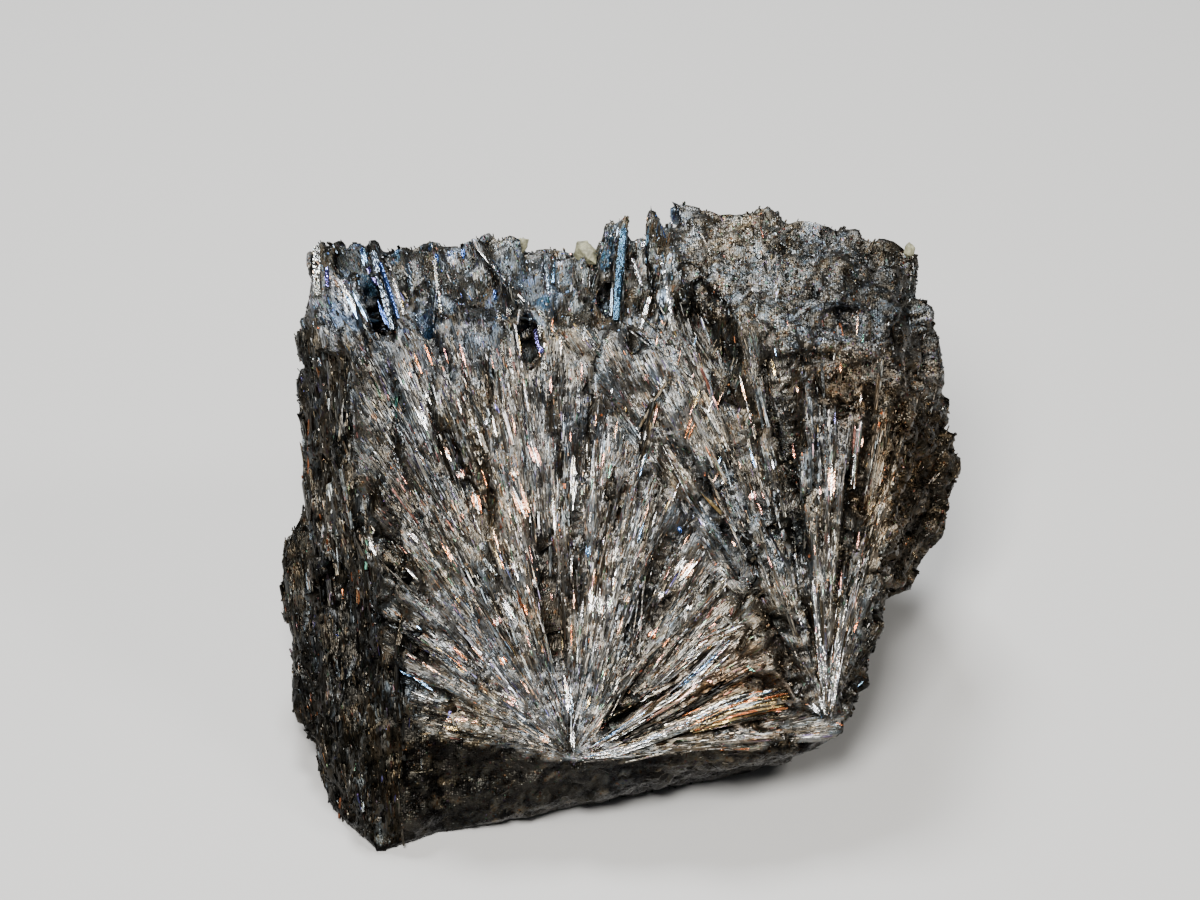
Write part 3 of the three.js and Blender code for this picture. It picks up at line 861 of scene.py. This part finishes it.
def inside(spec, sides, proud=0.3):
    """Only the crystals that stay in the mass's box and on their own sides, with tips near the skin."""
    tips = spec["root"] + unit(spec["way"]) * spec["length"][:, None] + spec["bend"]
    room = 0.5 * spec["width"][:, None]
    keep = ((tips - room > LOW) & (tips + room < HIGH)).all(1)
    keep &= (spec["root"] - room > LOW).all(1) & (spec["root"] + room < HIGH).all(1)
    keep &= gap_at(tips) < 0.6
    allowed = np.any([QUAD_SIDES[side] for side in sides], axis=0)
    for place in np.flatnonzero(keep):
        tip = Vector(tips[place])
        near, normal, quad, away = SKIN_TREE.find_nearest(tip)
        keep[place] = allowed[quad] and (away < proud or ((tip - near).dot(normal) < 0 and buried(tip)))
    return {key: value[keep] for key, value in spec.items()}


def together(specs):
    return {key: np.concatenate([spec[key] for spec in specs]) for key in specs[0]}


def fan_needles(name, side, seed, material):
    """Long crystals near the root, and short fine ones all over."""
    random = np.random.default_rng(seed)

    def near_root(points):
        return root_reach(points) < 30

    def crystals(per_mm2, length, width, where=None, **settings):
        return laid(random, *scattered(random, side, per_mm2, where), "fan", length, width, **settings)

    long = crystals(1.5, (3, 11), (0.2, 0.55), near_root, flatness=0.4, stray=0.02, lift=0.03)
    middle = crystals(3.6, (1.2, 4.5), (0.12, 0.3), stray=0.04, lift=0.06)
    fine = crystals(15.0, (0.4, 1.9), (0.07, 0.18), stray=0.08, lift=0.12)
    sides = (side, "top", "crust")
    needles(name, inside(together([long, middle]), sides, 0.22), 4, material)
    needles(name + "_splinters", inside(fine, sides, 0.22), 3, material, ())


def side_needles(name, side, mix, seed, material, amount, long=(2.0, 7.0), stray=0.1, proud=0.3):
    """Amount is how many long, middling and fine crystals stand on each square millimetre."""
    random = np.random.default_rng(seed)

    def crystals(per_mm2, length, width, **settings):
        return laid(random, *scattered(random, side, per_mm2), mix, length, width, **settings)

    big = crystals(amount[0], long, (0.25, 0.7), stray=stray * 0.5)
    middle = crystals(amount[1], (1.0, 3.5), (0.15, 0.4), stray=stray)
    fine = crystals(amount[2], (0.4, 1.6), (0.08, 0.24), stray=stray * 2, lift=0.2)
    needles(name, inside(together([big, middle]), (side,), proud), 4, material)
    needles(name + "_splinters", inside(fine, (side,), proud), 3, material, ())


def crust_of_grains(name, sides, mix, seed, per_mm2, sizes):
    random = np.random.default_rng(seed)
    places = [scattered(random, side, per_mm2) for side in sides]
    points = np.concatenate([p for p, n in places])
    normals = np.concatenate([n for p, n in places])
    size = sizes[0] + (sizes[1] - sizes[0]) * random.beta(1.1, 3.2, len(points))
    centres = points + normals * (size * random.uniform(-0.25, 0.3, len(points)))[:, None]
    keep = ((centres - size[:, None] * 0.6 > LOW) & (centres + size[:, None] * 0.6 < HIGH)).all(1)
    tint = mixed_tints(random, len(points), mix)
    tint[:, :3] *= shading(points)
    grains(name, centres[keep], size[keep], tint[keep], SUGARY, seed + 1)


fan_needles("needles_wide_fan", "fan_a", 101, STIBNITE)
fan_needles("needles_narrow_fan", "fan_b", 102, STIBNITE_B)
# The left wall's and the underside's crystals take mixes that are partly painted shade.
side_needles("needles_left_wall", "left", "left", 103, STIBNITE_LEFT, (0.8, 2.0, 6))
side_needles("needles_top", "top", "top", 104, STIBNITE, (0.8, 1.8, 8), long=(1.5, 4.5), proud=0.1)
side_needles("needles_back", "back", "back", 105, STIBNITE_BACK, (0.6, 1.3, 4))
side_needles("needles_right_lobe", "lobe", "lobe", 106, STIBNITE_B, (0.1, 0.8, 4), stray=0.2, proud=0.09)
side_needles("needles_crust", "crust", "crust", 107, STIBNITE_B, (0.1, 0.8, 6), stray=0.2, proud=0.09)
side_needles("needles_underside", "under", "under", 108, STIBNITE, (0.0, 0.2, 1.5), stray=0.2, proud=0.15)
crust_of_grains("grains_fans", ["fan_a", "fan_b", "top"], "fan", 207, 6, (0.08, 0.3))
crust_of_grains("grains_crust", ["crust"], "crust", 201, 10, (0.09, 0.4))
crust_of_grains("grains_top", ["top"], "sparkle", 202, 5, (0.07, 0.24))
crust_of_grains("sparkle_crust", ["crust"], "sparkle", 204, 2, (0.07, 0.24))
crust_of_grains("grains_lobe", ["lobe"], "lobe", 203, 5, (0.15, 0.8))
crust_of_grains("grains_left_wall", ["left"], "left", 205, 3, (0.12, 0.6))


# ---------------------------------------------------------------- crystals placed one by one

def on_skin(across, upward, lift=0.0):
    """The point of the skin under a place on the fan face, or under the nearest place below with skin."""
    hit = None
    lower = 0.0
    while hit is None and lower < 12:
        start = Vector(on_face(across, upward - lower, 30))
        hit, _, _, _ = SKIN_TREE.ray_cast(start, Vector(-OUTWARD))
        lower += 0.3
    return on_face(across, upward) if hit is None else np.array(hit) + lift * OUTWARD


def towards(azimuth, elevation):
    """The direction at a compass angle (0 in front, 90 at the right) and a height, in degrees."""
    a, e = math.radians(azimuth), math.radians(elevation)
    return np.array([math.sin(a) * math.cos(e), -math.cos(a) * math.cos(e), math.sin(e)])


KEY_LIGHT = (-14.0, 57.0)  # in front and high up, a little to the left
GLEAMING = unit(OUTWARD + towards(*KEY_LIGHT))  # a face turned this way flashes at whoever faces the fans


def blades(name, rows, seed, sides=8, flashing=False, proud=0.2):
    """Blades given as (from, to, width, colour), from and to being places on the fan face. Flashing ones
    lie square to the direction that sends the key light straight out from the face."""
    random = np.random.default_rng(seed)
    facing = GLEAMING if flashing else OUTWARD
    root = np.array([on_skin(*row[0]) for row in rows])
    tip = np.array([on_skin(*row[1]) for row in rows])
    deeper = (tip - root) @ OUTWARD
    steepest = 0.55 * np.linalg.norm(tip - root, axis=1)
    tip += (np.clip(deeper, -steepest, 1.5) - deeper)[:, None] * OUTWARD
    if flashing:
        middle = (root + tip) / 2
        reach = tip - root
        reach -= (reach @ GLEAMING / (OUTWARD @ GLEAMING))[:, None] * OUTWARD
        root, tip = middle - reach / 2, middle + reach / 2
    count = len(rows)
    width = np.array([row[2] for row in rows], float)
    spec = dict(
        root=root + proud * OUTWARD,
        way=tip - root,
        facing=facing + random.normal(0, 0.03 if flashing else 0.15, (count, 3)),
        length=np.linalg.norm(tip - root, axis=1),
        width=width,
        thick=width * 0.6,
        bend=np.zeros((count, 3)),
        tip=random.uniform(0.25, 0.5, count) if flashing else np.full(count, 0.05),
        skew=random.uniform(-0.4, 0.4, count),
        tint=np.array([(*PALETTE[row[3]], 0.85 if flashing else 1.0) for row in rows]),
    )
    if flashing:
        return needles(name, spec, sides, FLASHING, middle=(0.3,), foot=0.25)
    return needles(name, spec, sides, GLEAMING_WIDE)


TOP_BLADES = [
    ((-4.35, 27.6), (-4.5, 32.0), 0.6, "steel"),
    ((-1.9, 27.4), (-2.3, 31.8), 0.6, "steel"),
    ((-4.9, 28.4), (-5.2, 31.6), 0.4, "warm"),
    ((-19.0, 35.0), (-19.1, 36.4), 0.5, "silver"),
    ((-11.2, 31.0), (-12.0, 35.4), 0.4, "slate"),
    ((-9.3, 31.4), (-9.9, 35.6), 0.4, "steel"),
    ((-18.27, 32.8), (-18.45, 36.53), 0.8, "steel"),
    ((-17.59, 33.47), (-17.7, 34.94), 0.35, "violet"),
    ((-14.32, 33.87), (-15.33, 36.42), 0.45, "blue"),
    ((-12.83, 30.36), (-14.34, 36.19), 0.65, "slate"),
    ((-12.42, 31.11), (-13.88, 35.3), 0.4, "blue"),
    ((-12.03, 31.42), (-13.33, 35.42), 0.4, "silver"),
    ((-12.14, 31.92), (-12.45, 32.8), 0.35, "gold"),
    ((-9.77, 34.95), (-9.79, 35.9), 0.35, "blue"),
    ((-7.93, 35.75), (-7.94, 36.34), 0.4, "blue"),
    ((-5.55, 32.51), (-5.56, 33.24), 0.3, "blue"),
    ((-3.63, 33.42), (-4.93, 35.42), 0.4, "slate"),
    ((-2.12, 28.67), (-2.58, 30.38), 0.6, "violet"),
    ((-1.4, 33.77), (-1.42, 35.64), 0.35, "sky"),
    ((-1.63, 32.72), (-1.83, 34.42), 0.3, "slate"),
    ((3.13, 30.94), (3.72, 37.82), 0.7, "teal"),
    ((2.77, 31.42), (3.32, 37.82), 0.3, "slate"),
    ((1.56, 35.28), (2.13, 38.02), 0.55, "silver"),
    ((5.04, 36.42), (5.27, 38.62), 0.5, "silver"),
    ((4.92, 30.41), (5.66, 32.84), 0.45, "silver"),
    ((5.01, 33.56), (4.3, 35.67), 0.4, "silver"),
    ((7.17, 31.32), (6.47, 35.32), 0.4, "silver"),
    ((10.57, 32.82), (9.87, 36.42), 0.45, "steel"),
    ((-18.23, 27.82), (-18.63, 31.32), 0.4, "slate"),
]
GLINTS = [
    ((-14.39, 29.93), (-16.39, 33.87), 0.75, "sky"),
    ((-13.2, 30.3), (-14.1, 32.9), 0.3, "blue"),
    ((-3.18, 31.93), (-7.2, 36.4), 0.4, "silver"),
    ((-14.9, 35.0), (-15.3, 36.6), 0.4, "sky"),
    ((-3.18, 16.93), (-4.17, 19.69), 0.87, "hot"),
    ((-3.93, 19.72), (-4.23, 20.42), 0.63, "hot"),
    ((-2.33, 20.54), (-2.97, 22.45), 0.56, "rose"),
    ((-10.0, 22.88), (-11.29, 25.43), 0.46, "silver"),
    ((-8.53, 20.96), (-9.37, 22.03), 0.56, "hot"),
    ((-6.06, 23.37), (-6.18, 24.01), 0.39, "silver"),
    ((-2.55, 11.96), (-2.97, 12.97), 0.59, "hot"),
    ((-6.62, 17.12), (-7.03, 19.26), 0.59, "copper"),
    ((-7.68, 19.68), (-8.1, 20.32), 0.59, "rose"),
    ((-5.21, 9.25), (-5.3, 10.14), 0.59, "rose"),
    ((-3.82, 3.76), (-4.88, 4.41), 0.5, "rose"),
    ((-4.65, 6.63), (-5.07, 7.2), 0.5, "copper"),
    ((-6.29, 2.32), (-9.4, 2.72), 0.48, "hot"),
    ((-7.62, 1.9), (-9.34, 2.07), 0.42, "gold"),
    ((-1.48, 1.14), (-2.33, 1.64), 0.5, "hot"),
    ((-4.03, 9.71), (-5.08, 11.42), 0.39, "silver"),
    ((-10.38, 14.82), (-11.87, 16.3), 0.26, "silver"),
    ((0.0, 2.48), (-0.72, 6.17), 0.46, "silver"),
    ((0.07, 2.22), (-0.23, 5.42), 0.33, "slate"),
    ((0.01, 6.26), (-0.28, 8.07), 0.35, "silver"),
    ((1.28, 13.97), (1.07, 15.04), 0.39, "sky"),
    ((1.49, 9.85), (1.42, 12.26), 0.55, "silver"),
    ((2.13, 9.71), (1.99, 11.98), 0.55, "steel"),
    ((2.84, 10.0), (2.55, 11.85), 0.44, "silver"),
    ((7.22, 12.69), (8.07, 14.39), 0.46, "silver"),
    ((7.57, 12.48), (8.92, 13.96), 0.7, "hot"),
    ((5.95, 10.99), (6.58, 12.06), 0.46, "silver"),
    ((8.14, 10.22), (8.43, 10.99), 0.39, "silver"),
    ((5.53, 8.42), (5.81, 9.0), 0.53, "copper"),
    ((7.51, 15.79), (7.79, 16.36), 0.39, "blue"),
    ((0.08, 17.5), (0.14, 21.39), 0.5, "silver"),
    ((1.17, 16.92), (1.12, 20.89), 0.44, "silver"),
    ((12.81, 18.06), (12.74, 18.91), 0.56, "rose"),
    ((18.27, 18.2), (18.37, 21.39), 0.5, "hot"),
    ((17.67, 2.85), (15.23, 5.25), 0.33, "silver"),
    ((17.8, 3.01), (17.54, 5.19), 0.33, "silver"),
    ((17.8, 2.79), (16.23, 5.36), 0.31, "sky"),
    ((17.87, 2.8), (16.54, 4.08), 0.33, "silver"),
    ((-13.93, 14.21), (-14.59, 15.62), 0.22, "silver"),
    ((-9.89, 4.75), (-11.8, 6.18), 0.24, "sky"),
    ((0.07, 0.28), (0.0, 2.48), 0.33, "silver"),
]


def slivers(rows, seed, widest=0.24):
    """Each row as slim blades side by side, with uneven ends, together as wide as the row. The middle one
    of a coloured row is the palest: a painted highlight for the white-hot middle of a glint."""
    random = np.random.default_rng(seed)
    made = []
    for root, tip, width, colour in rows:
        count = math.ceil(width / widest)
        root, tip = np.array(root), np.array(tip)
        way = (tip - root) / np.linalg.norm(tip - root)
        aside = np.array([-way[1], way[0]])
        for number, place in enumerate((np.arange(count) + 0.5) / count - 0.5):
            core = count > 2 and number == count // 2
            early, late = random.uniform(0, 0.3, 2) * (count > 1 and not core)
            start = root + (tip - root) * early + aside * place * width
            end = tip - (tip - root) * late + aside * place * width
            made.append((tuple(start), tuple(end), 1.45 * width / count, "pearl" if core else colour))
    return made


def small_flashes(seed, count=150):
    """Short bright blades scattered over both fans, lying along the spray."""
    random = np.random.default_rng(seed)
    names = ["rose", "copper", "hot", "silver", "gold", "sky", "violet", "green"]
    shares = [0.26, 0.14, 0.2, 0.2, 0.08, 0.06, 0.03, 0.03]
    rows = []
    while len(rows) < count:
        across, upward = random.uniform(-12, 21), random.uniform(1.5, 30)
        root = np.array([18.0, 2.7]) if across > 9 + 0.1 * upward else np.zeros(2)
        way = np.array([across, upward]) - root
        way /= np.linalg.norm(way)
        long = random.uniform(0.5, 1.9)
        end = (across + way[0] * long, upward + way[1] * long)
        rows.append(((across, upward), end, random.uniform(0.12, 0.26), random.choice(names, p=shares)))
    return rows


blades("blades_top_edge", TOP_BLADES, 301)
blades("blades_flashing", small_flashes(303), 304, sides=4, flashing=True, proud=0.3)
blades("blades_glinting", slivers(GLINTS, 305), 302, sides=4, flashing=True, proud=0.36)


def sheaf(name, path, width, count, mix, seed, material, rings=9):
    """Strands side by side along a curve on the fan face, spreading as they go. Width is that of the whole
    sheaf, (at root, at tip)."""
    random = np.random.default_rng(seed)
    share = np.linspace(0, 1, rings)
    ends = random.uniform(0, 0.3, (count, 1))
    stop = random.uniform(0.65, 1.0, (count, 1))
    along = ends + (stop - ends) * share[None]
    knots = np.linspace(0, 1, len(path))
    across = np.interp(along, knots, [p[0] for p in path])
    upward = np.interp(along, knots, [p[1] for p in path])
    heading = np.array(path[-1]) - np.array(path[0])
    aside = np.array([-heading[1], heading[0]]) / np.linalg.norm(heading)
    place = random.uniform(-0.5, 0.5, (count, 1)) * (width[0] + (width[1] - width[0]) * along)
    lift = random.uniform(0.1, 0.55, (count, 1))
    lift = lift + 0.08 * np.sin(along * 9 + random.uniform(0, 6, (count, 1)))
    spots = np.stack([across + aside[0] * place, upward + aside[1] * place], 2)
    lines = np.array([[on_face(*spot_on_face) for spot_on_face in strand] for strand in spots])
    skin = np.array([[on_skin(*spot_on_face) for spot_on_face in strand] for strand in spots])
    heights = (skin - ROOT_A) @ OUTWARD
    padded = np.pad(heights, ((0, 0), (2, 2)), mode="edge")
    smooth = np.array([np.convolve(row, np.ones(5) / 5, mode="valid") for row in padded])
    lines = lines + (smooth + lift)[:, :, None] * OUTWARD
    tips = lines[:, -1] + (lines[:, -1] - lines[:, -2]) * 0.4
    wide = random.uniform(0.1, 0.26, count)
    sizes = np.clip(0.45 + 0.8 * share, 0, 1)[None] * np.ones((count, 1))
    facing = OUTWARD + random.normal(0, 0.35, (count, 3))
    tint = mixed_tints(random, count, mix, 0.2)
    tint[:, :3] *= 0.92
    tint[:, 3] = random.uniform(0.6, 1, count)
    tubes(name, lines, tips, facing, wide, wide * 0.6, sizes, tint, 6, material)


SHEAVES = [
    ("sheaf_main", GLEAMING_WIDE, "sheaf", 44, (0.4, 1.4),
     [(1.3, 0.6), (2.55, 1.3), (4.8, 2.7), (7.3, 4.35), (9.5, 6.3), (11.1, 7.9)]),
    ("sheaf_low", GLEAMING_WIDE, "sheaf", 34, (0.4, 1.1),
     [(1.0, 0.1), (2.7, 0.25), (5.25, 1.15), (7.85, 2.25), (10.4, 3.5), (13.8, 4.7)]),
    # The two gap sheaves are near-black strands between the bright sheaves: painted shade in the gaps.
    ("gap_upper", STIBNITE, "under", 20, (0.3, 0.7),
     [(1.4, 1.9), (3.4, 3.0), (6.0, 4.3), (7.5, 5.2), (9.9, 7.5)]),
    ("gap_lower", STIBNITE, "under", 18, (0.25, 0.5),
     [(3.2, 1.0), (5.4, 2.0), (8.2, 3.5), (9.9, 4.6), (12.2, 6.0)]),
    ("sheaf_upper", GLEAMING_WIDE, "sheaf", 20, (0.3, 0.9),
     [(4.8, 4.0), (5.95, 5.0), (7.5, 6.4), (9.25, 8.1), (11.8, 9.1)]),
    ("sheaf_coppery", GLEAMING_WIDE, "coppery", 60, (0.8, 2.3),
     [(8.3, 2.0), (9.6, 2.6), (11.2, 3.2), (13.3, 3.7), (15.3, 4.0)]),
    ("sheaf_narrow_right", GLEAMING_NARROW, "sheaf", 44, (0.3, 1.6),
     [(18.2, 2.8), (18.6, 5.6), (19.0, 8.4), (19.5, 11.2), (19.9, 14.0)]),
    ("sheaf_narrow_left", GLEAMING_NARROW, "sheaf", 24, (0.3, 1.0),
     [(18.0, 2.9), (17.7, 5.9), (17.5, 9.1), (17.2, 12.4)]),
    ("sheaf_narrow_high", GLEAMING_NARROW, "sheaf", 10, (0.5, 0.8),
     [(19.8, 19.0), (20.0, 21.5), (20.2, 24.0)]),
]
for number, (sheaf_name, material, mix, count, spread, path) in enumerate(SHEAVES):
    sheaf(sheaf_name, path, spread, count, mix, 401 + number, material)


# ---------------------------------------------------------------- pale grains

def pale_grain(node_name, seed):
    points, normals, quads = remeshed(node_name, 0.09)
    relief = 0.16 * rough_noise(points, 0.7, seed) - 0.04
    moved = np.clip(points + normals * relief[:, None], LOW, HIGH)
    made = mesh_object(node_name + "_detail", moved, [quads], PALE)
    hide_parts(node_name)


for number, grain_name in enumerate(sorted(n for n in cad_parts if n.startswith("pale_grain"))):
    pale_grain(grain_name, 60 + number)


# ---------------------------------------------------------------- stage

# Distances in widths of the lump.
FLOOR_REACH = 12
LAMPS_AWAY = 6
CAMERA_AWAY = 4.812
LENS = 99.9  # millimetres


def stage():
    width = SIZE[0] * MM
    floor_mesh = bpy.data.meshes.new("floor")
    reach = FLOOR_REACH * width
    corners = [(-reach, -reach, 0), (reach, -reach, 0), (reach, reach, 0), (-reach, reach, 0)]
    floor_mesh.from_pydata(corners, [], [(0, 1, 2, 3)])
    floor = linked("floor", floor_mesh)
    pale, _, shader = principled("floor")
    shader.inputs["Base Color"].default_value = (0.42, 0.415, 0.405, 1)
    shader.inputs["Roughness"].default_value = 0.8
    floor_mesh.materials.append(pale)
    world = bpy.data.worlds.new("studio")
    world.use_nodes = True
    background = world.node_tree.nodes["Background"]
    background.inputs["Color"].default_value = (0.75, 0.78, 0.82, 1)
    background.inputs["Strength"].default_value = 0.14
    bpy.context.scene.world = world

    def softbox(name, azimuth, elevation, size, watts, colour=(1, 1, 1)):
        """A square area light at a compass angle and a height in degrees, as towards has them."""
        away = Vector(towards(azimuth, elevation))
        lamp = bpy.data.lights.new(name, "AREA")
        lamp.size = size * width
        lamp.energy = watts
        lamp.color = colour
        holder = linked(name, lamp)
        holder.location = Vector(spot(0.5, 0.5, 0.4) * MM) + away * LAMPS_AWAY * width
        holder.rotation_euler = (-away).to_track_quat("-Z", "Y").to_euler()

    softbox("key", *KEY_LIGHT, 1.8, 2.1, (1, 0.985, 0.96))
    softbox("back", -165, 62, 1.6, 1.5, (0.96, 0.98, 1))
    softbox("edge", 75, 48, 1.2, 0.4, (1, 0.97, 0.92))


def camera():
    """Square to the fan face, and aimed a little to the left of the lump's middle."""
    aim = Vector(spot(0.472, 0.6038, 0.564) * MM)
    away = Vector(OUTWARD)
    data = bpy.data.cameras.new("camera")
    data.lens = LENS
    holder = linked("camera", data)
    holder.location = aim + away * CAMERA_AWAY * SIZE[0] * MM
    holder.rotation_euler = (-away).to_track_quat("-Z", "Y").to_euler()
    data.clip_start = 0.01
    data.clip_end = 10
    bpy.context.scene.camera = holder


stage()
camera()
